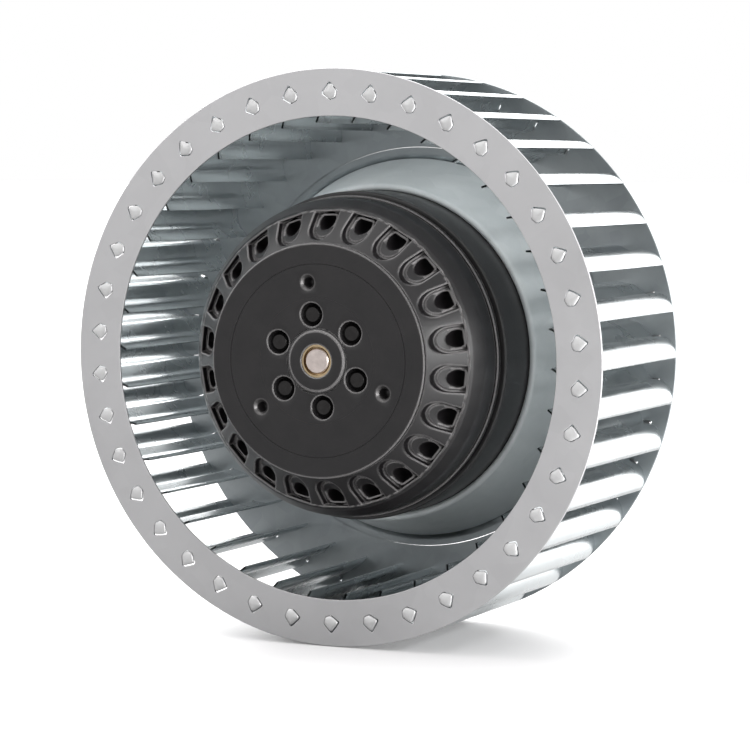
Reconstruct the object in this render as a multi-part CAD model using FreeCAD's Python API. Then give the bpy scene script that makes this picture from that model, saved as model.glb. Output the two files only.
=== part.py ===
import FreeCAD, Part
import math
import os
from FreeCAD import Vector

# A motorised centrifugal wheel, in millimetres. The axis runs along Y through the origin, which
# lies on the mounting face of the motor flange. The inlet faces -Y and +Z is up. Angles are
# degrees clockwise from the top, as seen from the inlet.

# Wheel: rings, sheet and width
wheel_radius = 90.0
wheel_width = 67.2
ring_width = 14.7
plate_thickness = 0.8
nose_projection = 9.5

# Blades: one bent sheet strip each. A slanting leg rises from the heel, a short web carries the
# tongues, and a lip bends over in the direction of rotation
blade_count = 38
blade_thickness = 0.6
tongue_angle = 0.1
web_offset = 1.3
tip_angle = 5.3
tip_inset = 0.3
lip_bend = 5.3
heel_angle = -4.1
heel_projection = 1.8
knee_drop = 0.65
knee_bend = 3.0
tongue_rise = 0.75
tongue_width = 2.6
tongue_lift = 0.05
slot_play = 0.15
fold_room = 0.45

# Folded tongue heads: a pointed flap, broad next to its fold
head_reach = 4.1
head_shoulder = 1.3
head_half_length = 2.8
head_fold_half = 1.9
head_overhang = 0.4

# Hub of the back plate: a cone drawn forward to a folded collar round the rotor
cone_base_radius = 62.4
cone_height = 31.7
cone_top_width = 1.5
collar_length = 8.0
base_bend = 2.5
fold_bend = 0.6

# Motor lengths, from the mounting face forward
flange_height = 11.4
flange_clearance = 2.2
end_turn_length = 8.4
core_length = 32.6
bell_length = 26.9

# Stator and rotor cores
stator_radius = 38.7
air_gap = 0.3
core_wall = 13.0
core_chamfer = 0.4
slot_count = 16
tooth_width = 6.5
tooth_tip = 1.7
slot_opening = 2.4
slot_floor_radius = 22.0
liner = 0.4
insulator_thickness = 1.15
fence_thickness = 1.2
end_turn_gap = 0.2
end_turn_rounding = 2.5
tooth_slope = 1.0
fence_inset = 1.5
insulator_play = 0.3

# Rotor cage, cast through the core
bar_count = 22
bar_width = 3.2
bar_height = 6.0
bar_bridge = 1.2
end_ring_height = 10.3
end_ring_length = 5.5
cast_gap = 0.03

# Bell of the rotor: centre disc, cone with vent pockets, shoulder, two grooves
disc_radius = 36.3
disc_step = 1.3
disc_wall = 3.4
boss_radius = 9.2
boss_lift = 0.5
cone_inset = 4.7
cone_drop = 10.4
shoulder_inset = 2.2
shoulder_drop = 3.8
cone_edge_rounding = 1.2
shoulder_rounding = 2.5
side_inset = 1.8
side_wall = 4.2
front_groove_depth = 0.8
front_groove_width = 0.8
ridge_width = 2.0
ridge_inset = 1.3
rear_groove_width = 1.5
rear_groove_inset = 2.0

# Vent pockets in the cone
vent_count = 22
vent_angle = -1.8
vent_width = 8.4
vent_inner_margin = 0.9
vent_rim = 1.4
vent_depth = 3.0
vent_floor = 2.2
vent_hole_radius = 2.65
vent_hole_margin = 0.35

# Holes of the centre disc
hole_angle = -7.4
rivet_count = 6
rivet_circle_radius = 14.4
rivet_sink_radius = 3.7
rivet_sink_depth = 2.2
rivet_head_radius = 3.0
rivet_head_height = 1.3
rivet_dome = 0.78
rivet_tail_radius = 2.6
rivet_tail_height = 1.0
rivet_shank_radius = 1.6
rivet_hole_play = 0.05
tapped_count = 3
tapped_circle_radius = 24.35
tapped_radius = 1.65
tapped_sink = 0.8

# Shaft, hub and their rings
shaft_radius = 4.0
shaft_nose = 0.1
shaft_chamfer = 0.4
shaft_tail = 1.4
hub_margin = 3.6
hub_flange_thickness = 3.0
hub_boss_radius = 8.5
hub_boss_length = 7.1
hub_nose_wall = 0.6
hub_nose_depth = 2.2
shaft_gap = 0.5
spacer_wall = 1.4
spacer_length = 2.46
circlip_width = 0.8
circlip_depth = 0.2
circlip_rim = 1.6
circlip_mouth = 1.2
ear_angle = 25.0
ear_sink = 0.3

# Ball bearings: closed by shields, so solid inside
bearing_radius = 11.0
bearing_width = 7.0
inner_ring_wall = 2.0
outer_ring_wall = 1.6
shield_sink = 0.3
shield_gap = 0.1

# Bearing tube, spring and cap
tube_wall = 2.0
tube_lip = 1.2
tube_shoulder = 1.2
tube_seat = 3.6
tube_overhang = 1.0
spring_thickness = 0.3
spring_height = 0.7
spring_play = 0.1
cap_thickness = 0.6
cap_rim = 1.6
cap_bend = 0.7
cap_seat_wall = 0.8

# Mounting flange
flange_radius = 46.5
flange_plate = 4.0
flange_lip_width = 2.0
flange_lip_height = 3.1
flange_rounding = 1.5
mount_chamfer = 0.5
mount_ring_inner = 27.5
mount_ring_outer = 38.0
mount_circle_radius = 32.5
mount_hole_count = 4
mount_hole_angle = 45.0
mount_hole_radius = 1.65
mount_hole_depth = 9.0
hub_wall = 3.8
hub_stop = 1.2
hub_stop_width = 1.0
hub_drop = 3.6
rib_count = 8
rib_width = 2.4
rib_height = 2.8
outlet_radius = 22.2
outlet_angle = 202.5
outlet_hole_radius = 4.0
grommet_bore_radius = 2.8
grommet_collar = 1.0
grommet_collar_length = 1.3
grommet_tail = 2.6
grommet_play = 0.05
grommet_taper = 0.35

# Gap left where pieces seat on each other, the radius from which a turned edge gets two flats,
# and how far a cutting or joining shape runs past the faces it works on
seat_gap = 0.02
two_flats_from = 0.9
overrun = 1.0

# Places along the axis that follow from the lengths above
flange_front = -flange_height
winding_rear = flange_front - flange_clearance
core_rear = winding_rear - end_turn_length
core_front = core_rear - core_length
winding_front = core_front - end_turn_length
disc_face = core_front - bell_length
wheel_front = disc_face + nose_projection
wheel_rear = wheel_front + wheel_width
inlet_radius = wheel_radius - ring_width
ring_middle = (inlet_radius + wheel_radius) / 2
tongue_radius = ring_middle + tongue_rise
core_inner = stator_radius + air_gap
core_radius = core_inner + core_wall
bar_inner = core_inner + bar_bridge
tube_radius = bearing_radius + tube_wall
tube_rear = flange_front + tube_seat
rear_bearing_front = tube_rear - tube_overhang - bearing_width
disc_back = disc_face + disc_wall
hub_rear = disc_back + hub_flange_thickness + hub_boss_length
front_bearing_front = hub_rear + spacer_length + 2 * seat_gap

ORIGIN = Vector(0, 0, 0)
Y_AXIS = Vector(0, 1, 0)


def unit(a, b):
    """Direction from one plane point to another."""
    length = math.hypot(b[0] - a[0], b[1] - a[1])
    return (b[0] - a[0]) / length, (b[1] - a[1]) / length


def strip_outline(path, thickness):
    """Closed outline of a bent strip: its centre line, (a, b, bend radius) points, offset to both sides."""
    half = thickness / 2
    sides = []
    for side in (1, -1):
        line = []
        for i, (a, b, bend) in enumerate(path):
            before = unit(path[max(i - 1, 0)], path[max(i, 1)])
            after = unit(path[min(i, len(path) - 2)], path[min(i + 1, len(path) - 1)])
            normal_a = (-before[1], before[0])
            normal_b = (-after[1], after[0])
            scale = side * half / (1 + normal_a[0] * normal_b[0] + normal_a[1] * normal_b[1])
            turn = before[0] * after[1] - before[1] * after[0]
            radius = 0
            if bend > 0:
                radius = bend - math.copysign(half, side * turn)
            offset = [scale * (normal_a[k] + normal_b[k]) for k in (0, 1)]
            line.append((a + offset[0], b + offset[1], radius))
        sides.append(line)
    return sides[0] + sides[1][::-1]


def corner_lengths(points):
    """Length that each rounded corner takes from its two edges, cut down where an edge is too short."""
    count = len(points)
    lengths = []
    for i, point in enumerate(points):
        radius = point[2] if len(point) > 2 else 0
        to_last = unit(point, points[i - 1])
        to_next = unit(point, points[(i + 1) % count])
        cosine = max(-1.0, min(1.0, to_last[0] * to_next[0] + to_last[1] * to_next[1]))
        lengths.append(radius / math.tan(math.acos(cosine) / 2))
    limited = []
    for i, point in enumerate(points):
        share = 1.0
        for j in (i - 1, (i + 1) % count):
            edge = math.hypot(points[j][0] - point[0], points[j][1] - point[1])
            wanted = lengths[i] + lengths[j]
            if wanted > 0.98 * edge:
                share = min(share, 0.98 * edge / wanted)
        limited.append(lengths[i] * share)
    return limited


def corner_points(points):
    """Start, middle, end and radius of the arc at each corner of a closed outline.

    The outline is a list of (a, b) or (a, b, radius) points.
    """
    lengths = corner_lengths(points)
    count = len(points)
    corners = []
    for i, point in enumerate(points):
        to_last = unit(point, points[i - 1])
        to_next = unit(point, points[(i + 1) % count])
        cut = lengths[i]
        start = (point[0] + to_last[0] * cut, point[1] + to_last[1] * cut)
        end = (point[0] + to_next[0] * cut, point[1] + to_next[1] * cut)
        bisector = (to_last[0] + to_next[0], to_last[1] + to_next[1])
        size = math.hypot(bisector[0], bisector[1])
        middle = None
        if cut > 0 and size > 1e-9:
            half_angle = math.acos(min(1.0, size / 2))
            radius = cut * math.tan(half_angle)
            reach = radius / math.sin(half_angle) - radius
            middle = (point[0] + bisector[0] / size * reach, point[1] + bisector[1] / size * reach)
        corners.append((start, middle, end, radius if middle else 0))
    return corners


def turned(points):
    """Solid of revolution about the Y axis from a closed outline of (radius, y) points.

    A corner's radius is made as one flat, or as two where it is large, so that turned edges stay light.
    """
    places = []
    for start, middle, end, radius in corner_points(points):
        places.append(start)
        if middle and radius >= two_flats_from:
            places.append(middle)
        if middle:
            places.append(end)
    wire = Part.makePolygon([Vector(r, y, 0) for r, y in places + places[:1]])
    return upright(Part.Face(wire).revolve(ORIGIN, Y_AXIS, 360))


def prism(points, y0, y1):
    """Prism along Y from a closed outline of (x, z) points, its corners rounded by arcs."""
    corners = corner_points(points)
    edges = []
    for i, (start, middle, end, radius) in enumerate(corners):
        if middle:
            arc = [Vector(x, y0, z) for x, z in (start, middle, end)]
            edges.append(Part.Arc(*arc).toShape())
        following = corners[(i + 1) % len(corners)][0]
        if math.hypot(following[0] - end[0], following[1] - end[1]) > 1e-7:
            line = [Vector(x, y0, z) for x, z in (end, following)]
            edges.append(Part.LineSegment(*line).toShape())
    return upright(Part.Face(Part.Wire(edges)).extrude(Vector(0, y1 - y0, 0)))


def upright(solid):
    """The same solid, turned right side out."""
    if solid.Volume < 0:
        solid.reverse()
    return solid


def tube(r0, r1, y0, y1):
    return turned([(r0, y0), (r1, y0), (r1, y1), (r0, y1)])


def rod(radius, y0, y1, distance=0.0, angle=0.0):
    """Round bar along Y, its axis at a distance from the main axis."""
    turn = math.radians(angle)
    foot = Vector(distance * math.sin(turn), min(y0, y1), distance * math.cos(turn))
    return Part.makeCylinder(radius, abs(y1 - y0), foot, Y_AXIS)


def around(shape, count, start=0.0):
    """Copies of a shape, evenly turned about the Y axis."""
    copies = []
    for i in range(count):
        copy = shape.copy()
        copy.rotate(ORIGIN, Y_AXIS, start + i * 360.0 / count)
        copies.append(copy)
    return copies


def box(x0, x1, y0, y1, z0, z1):
    return Part.makeBox(x1 - x0, y1 - y0, z1 - z0, Vector(x0, y0, z0))


def polar(radius, angle):
    turn = math.radians(angle)
    return radius * math.sin(turn), radius * math.cos(turn)


def tongue_slots(y0, y1):
    """Slots that the blades' tongues pass through, wider on the side where the tongue folds."""
    half = blade_thickness / 2
    reach = tongue_width / 2 + slot_play
    slot = box(web_offset - half - slot_play, web_offset + half + fold_room, y0, y1,
               tongue_radius - reach, tongue_radius + reach)
    return around(slot, blade_count, tongue_angle)


def front_ring():
    ring = tube(inlet_radius, wheel_radius, wheel_front, wheel_front + plate_thickness)
    return ring.cut(tongue_slots(wheel_front - overrun, wheel_front + plate_thickness + overrun))


def blade_path():
    """Centre line of the blade's section: slanting leg, web and lip."""
    heel = polar(inlet_radius - heel_projection, heel_angle)
    tip = polar(wheel_radius - tip_inset, tip_angle)
    return [(heel[0], heel[1], 0), (web_offset, ring_middle - knee_drop, knee_bend),
            (web_offset, tip[1], lip_bend), (tip[0], tip[1], 0)]


def tongue_head(y0, y1):
    """The tongue's end, folded flat against the plate and pointed away from its fold."""
    fold = web_offset + blade_thickness
    points = [(fold - head_reach, tongue_radius), (fold - head_shoulder, tongue_radius + head_half_length),
              (fold + head_overhang, tongue_radius + head_fold_half),
              (fold + head_overhang, tongue_radius - head_fold_half),
              (fold - head_shoulder, tongue_radius - head_half_length)]
    return prism(points, y0, y1)


def blades():
    """Blade strips between the plates, each with a folded tongue at both ends."""
    section = strip_outline(blade_path(), blade_thickness)
    front = wheel_front + plate_thickness + seat_gap
    rear = wheel_rear - plate_thickness - seat_gap
    strip = prism(section, front, rear)
    head_front = wheel_front - tongue_lift
    head_rear = wheel_rear + tongue_lift
    half = blade_thickness / 2
    neck = box(web_offset - half, web_offset + half, head_front - half, head_rear + half,
               tongue_radius - tongue_width / 2, tongue_radius + tongue_width / 2)
    tongues = prism(section, head_front - half, head_rear + half).common(neck)
    blade = strip.fuse([tongues, tongue_head(head_front - blade_thickness, head_front),
                        tongue_head(head_rear, head_rear + blade_thickness)])
    blade = blade.removeSplitter()
    return around(blade.Solids[0], blade_count, tongue_angle)


def back_plate():
    """Flat outer zone, cone rising to the rotor and a folded collar pressed on the core."""
    middle = wheel_rear - plate_thickness / 2
    top = wheel_rear - cone_height + plate_thickness / 2
    collar = core_radius + seat_gap + plate_thickness / 2
    path = [(wheel_radius, middle, 0), (cone_base_radius, middle, base_bend),
            (collar + cone_top_width, top, fold_bend), (collar, top, fold_bend),
            (collar, top + collar_length, 0)]
    plate = turned(strip_outline(path, plate_thickness))
    return plate.cut(tongue_slots(wheel_rear - plate_thickness - overrun, wheel_rear + overrun))


def cage_bar(play, y0, y1):
    """One bar of the rotor cage, or the slot for it in the core."""
    half = bar_width / 2 + play
    bar = box(-half, half, y0, y1, bar_inner - play, bar_inner + bar_height + play)
    return around(bar, bar_count)


def rotor_core():
    """Laminated ring; its outside is the wide black band behind the bell."""
    c = core_chamfer
    ring = turned([(core_inner, core_front), (core_radius - c, core_front), (core_radius, core_front + c),
                   (core_radius, core_rear - c), (core_radius - c, core_rear), (core_inner, core_rear)])
    return ring.cut(cage_bar(cast_gap, core_front - overrun, core_rear + overrun))


def cone_surface(radius):
    """Y of the bell's cone at a radius."""
    slope = cone_drop / (core_radius - cone_inset - disc_radius)
    return disc_face + disc_step + slope * (radius - disc_radius)


def vent_cutters():
    """Pockets with a round inner end, a flat floor that slopes with the cone and a round hole."""
    inner = disc_radius + vent_inner_margin
    outer = core_radius - cone_inset - vent_rim
    half = vent_width / 2
    above = disc_face - boss_radius
    column = box(-half, half, above, core_front, inner + half, outer)
    column = column.fuse(rod(half, above, core_front, inner + half))
    section = [(above, inner), (above, outer), (cone_surface(outer) + vent_depth, outer),
               (cone_surface(inner) + vent_depth, inner), (above, inner)]
    outline = Part.makePolygon([Vector(-half, y, z) for y, z in section])
    wedge = Part.Face(outline).extrude(Vector(vent_width, 0, 0))
    hole = rod(vent_hole_radius, disc_face, core_front, outer - vent_hole_margin - vent_hole_radius)
    return around(column.common(upright(wedge)).fuse(hole), vent_count, vent_angle)


def rotor_housing():
    """Bell with vents, cast in one piece with the cage bars and the rear end ring."""
    face = disc_face
    back = core_front - cast_gap
    hub_hole = shaft_radius + shaft_gap + hub_nose_wall + seat_gap
    side = core_radius - side_inset
    groove_front = back - rear_groove_width - ridge_width - front_groove_width
    inner_side = core_radius - side_inset - side_wall
    slope = cone_drop / (core_radius - cone_inset - disc_radius)
    inner_start = disc_radius + (disc_back - disc_face - disc_step - vent_depth - vent_floor) / slope
    bell = turned([
        (hub_hole, face - boss_lift), (boss_radius, face - boss_lift), (boss_radius, face),
        (disc_radius, face), (disc_radius, face + disc_step),
        (core_radius - cone_inset, face + disc_step + cone_drop, cone_edge_rounding),
        (core_radius - shoulder_inset, face + disc_step + cone_drop + shoulder_drop, shoulder_rounding),
        (side, groove_front), (side - front_groove_depth, groove_front),
        (side - front_groove_depth, groove_front + front_groove_width),
        (core_radius - ridge_inset, groove_front + front_groove_width),
        (core_radius - ridge_inset, groove_front + front_groove_width + ridge_width),
        (core_radius - rear_groove_inset, back - rear_groove_width), (core_radius - rear_groove_inset, back),
        (bar_inner, back), (bar_inner, back - end_ring_length),
        (inner_side, back - end_ring_length - side_wall),
        (inner_side, cone_surface(inner_side) + vent_depth + vent_floor),
        (inner_start, disc_back), (hub_hole, disc_back)])
    sinks = []
    for angle in [hole_angle + 360.0 * i / rivet_count for i in range(rivet_count)]:
        sinks.append(rod(rivet_sink_radius, face - overrun, face + rivet_sink_depth,
                         rivet_circle_radius, angle))
        sinks.append(rod(rivet_shank_radius + rivet_hole_play, face, disc_back + overrun,
                         rivet_circle_radius, angle))
    for angle in [hole_angle + 360.0 * i / tapped_count for i in range(tapped_count)]:
        x, z = polar(tapped_circle_radius, angle)
        sinks.append(rod(tapped_radius, face - overrun, disc_back + overrun, tapped_circle_radius, angle))
        sinks.append(Part.makeCone(tapped_radius + tapped_sink, tapped_radius, tapped_sink,
                                   Vector(x, face, z), Y_AXIS))
    bell = bell.cut(vent_cutters()).cut(sinks)
    rear_ring = tube(bar_inner, bar_inner + end_ring_height, core_rear + cast_gap,
                     core_rear + cast_gap + end_ring_length)
    return bell.fuse(cage_bar(0, back - overrun, core_rear + overrun) + [rear_ring])


def shaft():
    """Plain shaft with a groove for the circlip near its tail."""
    r = shaft_radius
    c = shaft_chamfer
    nose = disc_face - shaft_nose
    tail = rear_bearing_front + bearing_width + shaft_tail + circlip_width
    groove = rear_bearing_front + bearing_width + seat_gap
    return turned([(0, nose), (r - c, nose), (r, nose + c), (r, groove), (r - circlip_depth, groove),
                   (r - circlip_depth, groove + circlip_width + seat_gap),
                   (r, groove + circlip_width + seat_gap),
                   (r, tail - c), (r - c, tail), (0, tail)])


def shaft_hub():
    """Flanged steel bush behind the disc; its nose shows as a ring round the shaft's end."""
    bore = shaft_radius + seat_gap
    nose_bore = shaft_radius + shaft_gap
    nose = disc_face - shaft_nose
    flange = rivet_circle_radius + hub_margin
    front = disc_back + seat_gap
    back = disc_back + hub_flange_thickness
    hub = turned([(bore, nose + hub_nose_depth), (nose_bore, nose + hub_nose_depth), (nose_bore, nose),
                  (nose_bore + hub_nose_wall, nose), (nose_bore + hub_nose_wall, front), (flange, front),
                  (flange, back), (hub_boss_radius, back), (hub_boss_radius, hub_rear), (bore, hub_rear)])
    holes = around(rod(rivet_shank_radius + rivet_hole_play, front - overrun, back + overrun,
                       rivet_circle_radius), rivet_count, hole_angle)
    return hub.cut(holes)


def hub_rivets():
    """Domed rivets, sunk in the disc and closed behind the hub's flange."""
    seat = disc_face + rivet_sink_depth - seat_gap
    back = disc_back + hub_flange_thickness + seat_gap
    r = rivet_shank_radius
    top = seat - rivet_head_height
    rivet = turned([(0, top), (rivet_head_radius - rivet_dome, top),
                    (rivet_head_radius, top + rivet_dome), (rivet_head_radius, seat), (r, seat),
                    (r, back), (rivet_tail_radius, back), (rivet_tail_radius, back + rivet_tail_height),
                    (0, back + rivet_tail_height)])
    rivet.translate(Vector(0, 0, rivet_circle_radius))
    return around(rivet, rivet_count, hole_angle)


def shaft_spacer():
    r = shaft_radius + seat_gap
    return tube(r, r + spacer_wall, hub_rear + seat_gap, hub_rear + seat_gap + spacer_length)


def shaft_circlip():
    """Spring ring in the shaft's groove, open on one side with two ears."""
    groove = rear_bearing_front + bearing_width + 1.5 * seat_gap
    inner = shaft_radius - circlip_depth + seat_gap
    outer = shaft_radius + circlip_rim
    ring = tube(inner, outer, groove, groove + circlip_width)
    back = groove + circlip_width
    ears = [rod(circlip_rim / 2, groove, back, outer - ear_sink, side * ear_angle) for side in (-1, 1)]
    core = rod(inner, groove - overrun, back + overrun)
    mouth = box(-circlip_mouth, circlip_mouth, groove - overrun, back + overrun, 0, outer + circlip_rim)
    return ring.fuse(ears).cut([core, mouth])


def bearing_inner(front):
    r = shaft_radius + seat_gap
    return tube(r, r + inner_ring_wall, front, front + bearing_width)


def bearing_outer(front):
    """Outer ring with its two pressed shields, which stop just short of the inner ring."""
    inner = shaft_radius + seat_gap + inner_ring_wall + shield_gap
    ring = bearing_radius - outer_ring_wall
    back = front + bearing_width
    return turned([(inner, front + shield_sink), (ring, front + shield_sink), (ring, front),
                   (bearing_radius, front), (bearing_radius, back), (ring, back), (ring, back - shield_sink),
                   (inner, back - shield_sink)])


def preload_spring():
    """Slightly coned spring washer behind the rear bearing's outer ring."""
    outer = bearing_radius - spring_play
    inner = bearing_radius - outer_ring_wall - 2 * spring_play
    back = rear_bearing_front - seat_gap
    front = back - spring_height
    return turned([(outer, back), (outer, back - spring_thickness), (inner, front),
                   (inner, front + spring_thickness)])


def bearing_tube():
    """Tube with a bearing seat at each end and a shoulder that stops the stator."""
    seat = bearing_radius + seat_gap
    lip = bearing_radius - tube_lip
    front = front_bearing_front - tube_overhang
    front_stop = front_bearing_front + bearing_width + seat_gap
    rear_stop = rear_bearing_front - spring_height - 2 * seat_gap
    shoulder = tube_radius + tube_shoulder
    return turned([(seat, front), (tube_radius, front), (tube_radius, core_rear + seat_gap),
                   (shoulder, core_rear + seat_gap), (shoulder, flange_front - seat_gap),
                   (tube_radius, flange_front - seat_gap), (tube_radius, tube_rear), (seat, tube_rear),
                   (seat, rear_stop), (lip, rear_stop), (lip, front_stop), (seat, front_stop)])


def slot_half_width(radius):
    """Half width of a stator slot, with teeth of even width between the slots."""
    return radius * math.tan(math.pi / slot_count) - tooth_width / 2 / math.cos(math.pi / slot_count)


def slot_outline(inset):
    """Slot with a narrow mouth, or the coil side in it when inset."""
    top = stator_radius - tooth_tip - inset
    wide = top - tooth_slope
    low = slot_floor_radius + inset
    return [(-slot_half_width(low) + inset / 2, low), (slot_half_width(low) - inset / 2, low),
            (slot_half_width(wide) - inset, wide), (slot_opening / 2, top), (-slot_opening / 2, top),
            (-slot_half_width(wide) + inset, wide)]


def stator_core():
    """Laminated stator with open slots round its outside."""
    body = tube(tube_radius + seat_gap, stator_radius, core_front, core_rear)
    slot = prism(slot_outline(0), core_front - overrun, core_rear + overrun)
    mouth = box(-slot_opening / 2, slot_opening / 2, core_front - overrun, core_rear + overrun,
                stator_radius - tooth_tip - tooth_slope / 2, stator_radius + overrun)
    return body.cut(around(slot.fuse(mouth), slot_count))


def end_turns(inner, outer, y0, y1):
    """Ring of coil ends, rounded like a bound bundle."""
    return turned([(inner, y0, end_turn_rounding), (outer, y0, end_turn_rounding), (outer, y1), (inner, y1)])


def stator_winding():
    """Coil sides in the slots, joined by the two rings of end turns."""
    coil = prism(slot_outline(liner), core_front - insulator_thickness - end_turn_gap - overrun,
                 core_rear + insulator_thickness + end_turn_gap + overrun)
    inner = slot_floor_radius + liner
    outer = stator_radius - tooth_tip - liner
    front = end_turns(inner, outer, winding_front, core_front - insulator_thickness - end_turn_gap)
    rear = end_turns(inner, outer, winding_rear, core_rear + insulator_thickness + end_turn_gap)
    return front.fuse(around(coil, slot_count) + [rear])


def insulator(face, away):
    """End plate with a fence outside and inside the coil ends.

    Away is +1 behind the core and -1 before it.
    """
    near = face + away * seat_gap
    far = face + away * insulator_thickness
    fence_end = face + away * (end_turn_length - fence_inset)
    outer = stator_radius - tooth_tip + fence_thickness
    inner = tube_radius + tube_shoulder + insulator_play
    fence = stator_radius - tooth_tip - liner + end_turn_gap
    root = slot_floor_radius + liner - end_turn_gap
    plate = turned([(inner, near), (outer, near), (outer, fence_end), (fence, fence_end), (fence, far),
                    (root, far), (root, fence_end), (root - fence_thickness, fence_end),
                    (root - fence_thickness, far), (inner, far)])
    low, high = sorted((face - away, far + away))
    return plate.cut(around(prism(slot_outline(liner / 2), low, high), slot_count))


def stator_flange():
    """Cast flange: plate with a lip, ring with the mounting holes, ribbed hub over the tube's end."""
    plate_back = flange_front + flange_plate
    hub = tube_radius + hub_wall
    hub_back = -hub_drop
    stop = tube_rear + seat_gap
    cap_floor = stop + hub_stop
    seat = tube_radius + seat_gap
    body = turned([
        (seat, flange_front), (flange_radius - flange_lip_width, flange_front),
        (flange_radius - flange_lip_width, flange_front - flange_lip_height),
        (flange_radius, flange_front - flange_lip_height), (flange_radius, plate_back, flange_rounding),
        (mount_ring_outer, plate_back), (mount_ring_outer, 0, mount_chamfer),
        (mount_ring_inner, 0, mount_chamfer),
        (mount_ring_inner, plate_back), (hub, plate_back), (hub, hub_back),
        (tube_radius + cap_seat_wall, hub_back), (tube_radius + cap_seat_wall, cap_floor),
        (tube_radius - hub_stop_width, cap_floor), (tube_radius - hub_stop_width, stop), (seat, stop)])
    rib = box(-rib_width / 2, rib_width / 2, plate_back - overrun, plate_back + rib_height,
              hub - overrun, mount_ring_inner + overrun)
    outer_rib = box(-rib_width / 2, rib_width / 2, plate_back - overrun, plate_back + rib_height,
                    mount_ring_outer - overrun, flange_radius - flange_lip_width)
    body = body.fuse(around(rib, rib_count) + around(outer_rib, rib_count))
    holes = around(rod(mount_hole_radius, -mount_hole_depth, overrun, mount_circle_radius),
                   mount_hole_count, mount_hole_angle)
    holes.append(rod(outlet_hole_radius, flange_front - overrun, plate_back + overrun,
                     outlet_radius, outlet_angle))
    return body.cut(holes)


def rear_cap():
    """Pressed cover in the flange's hub, over the rear bearing."""
    floor = tube_rear + hub_stop + 2 * seat_gap + cap_thickness / 2
    rim = tube_radius + cap_seat_wall - seat_gap - cap_thickness / 2
    path = [(0, floor, 0), (rim, floor, cap_bend), (rim, floor + cap_rim, 0)]
    return turned(strip_outline(path, cap_thickness))


def cable_grommet():
    """Rubber bush with a collar on each side of the flange's plate."""
    body = outlet_hole_radius - grommet_play
    tail = outlet_hole_radius - grommet_taper
    collar = outlet_hole_radius + grommet_collar
    front = flange_front - seat_gap
    back = flange_front + flange_plate + seat_gap
    bush = turned([
        (grommet_bore_radius, front - grommet_collar_length), (collar, front - grommet_collar_length),
        (collar, front), (body, front), (body, back), (collar, back), (collar, back + grommet_collar_length),
        (tail, back + grommet_collar_length), (tail, back + grommet_tail),
        (grommet_bore_radius, back + grommet_tail)])
    x, z = polar(outlet_radius, outlet_angle)
    bush.translate(Vector(x, 0, z))
    return bush


def save(name, shape):
    """Write one sub-part as its own file, as separate closed solids."""
    solids = shape if isinstance(shape, list) else shape.Solids
    for solid in solids:
        if not solid.isValid() or solid.Volume <= 0:
            raise ValueError(name + " is not a sound solid")
    whole = solids[0] if len(solids) == 1 else Part.makeCompound(solids)
    whole.exportStep("parts/" + name + ".step")
    print(name, len(solids), round(sum(s.Volume for s in solids), 1))


os.makedirs("parts", exist_ok=True)
save("front_ring", front_ring())
save("blades", blades())
save("back_plate", back_plate())
save("rotor_housing", rotor_housing())
save("rotor_core", rotor_core())
save("shaft", shaft())
save("shaft_hub", shaft_hub())
save("hub_rivets", hub_rivets())
save("shaft_spacer", shaft_spacer())
save("shaft_circlip", shaft_circlip())
save("front_bearing_inner", bearing_inner(front_bearing_front))
save("rear_bearing_inner", bearing_inner(rear_bearing_front))
save("front_bearing_outer", bearing_outer(front_bearing_front))
save("rear_bearing_outer", bearing_outer(rear_bearing_front))
save("preload_spring", preload_spring())
save("bearing_tube", bearing_tube())
save("stator_core", stator_core())
save("front_insulator", insulator(core_front, -1))
save("rear_insulator", insulator(core_rear, 1))
save("stator_winding", stator_winding())
save("stator_flange", stator_flange())
save("rear_cap", rear_cap())
save("cable_grommet", cable_grommet())
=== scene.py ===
import math

import bpy
import numpy as np
from mathutils import Matrix, Vector


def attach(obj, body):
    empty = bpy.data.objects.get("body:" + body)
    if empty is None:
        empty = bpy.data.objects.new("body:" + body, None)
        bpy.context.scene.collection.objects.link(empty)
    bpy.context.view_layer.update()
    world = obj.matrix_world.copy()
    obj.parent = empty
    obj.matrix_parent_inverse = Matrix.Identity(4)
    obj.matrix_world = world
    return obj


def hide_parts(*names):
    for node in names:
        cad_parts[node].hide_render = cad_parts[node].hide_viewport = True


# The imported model. Its axis is Y, the inlet faces -Y, and angles run clockwise from the top as seen
# from the inlet. Sizes below are in millimetres and turned into metres when a mesh is made.
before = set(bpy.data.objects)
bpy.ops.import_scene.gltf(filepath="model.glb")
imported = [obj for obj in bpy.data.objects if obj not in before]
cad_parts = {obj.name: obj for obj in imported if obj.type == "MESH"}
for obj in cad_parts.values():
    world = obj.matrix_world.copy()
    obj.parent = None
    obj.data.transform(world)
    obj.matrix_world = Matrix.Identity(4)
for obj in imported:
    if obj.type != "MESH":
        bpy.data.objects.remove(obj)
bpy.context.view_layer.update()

# Camera: the view of the photograph, a long lens a little above the axis and to the right of it. It is
# shifted a little to the left and down, because the photograph isn't centred on the wheel.
azimuth = math.radians(25.12)
elevation = math.radians(4.148)
distance = 0.93366
shift_left = 0.000365
shift_down = 0.0071
axis_middle = Vector((0, -0.0384, 0))
back = Vector((math.sin(azimuth) * math.cos(elevation), -math.cos(azimuth) * math.cos(elevation),
               math.sin(elevation)))
right = Vector((math.cos(azimuth), math.sin(azimuth), 0))
up = back.cross(right)
camera_data = bpy.data.cameras.new("camera")
camera_data.sensor_width = 36
camera_data.lens = 139.59
camera_data.clip_start = 0.05
camera_data.clip_end = 50
camera = bpy.data.objects.new("camera", camera_data)
stand = axis_middle + back * distance - right * shift_left - up * shift_down
camera.matrix_world = Matrix.Translation(stand) @ Matrix((right, up, back)).transposed().to_4x4()
bpy.context.scene.collection.objects.link(camera)
bpy.context.scene.camera = camera
bpy.context.scene.view_settings.view_transform = "Standard"

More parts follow.
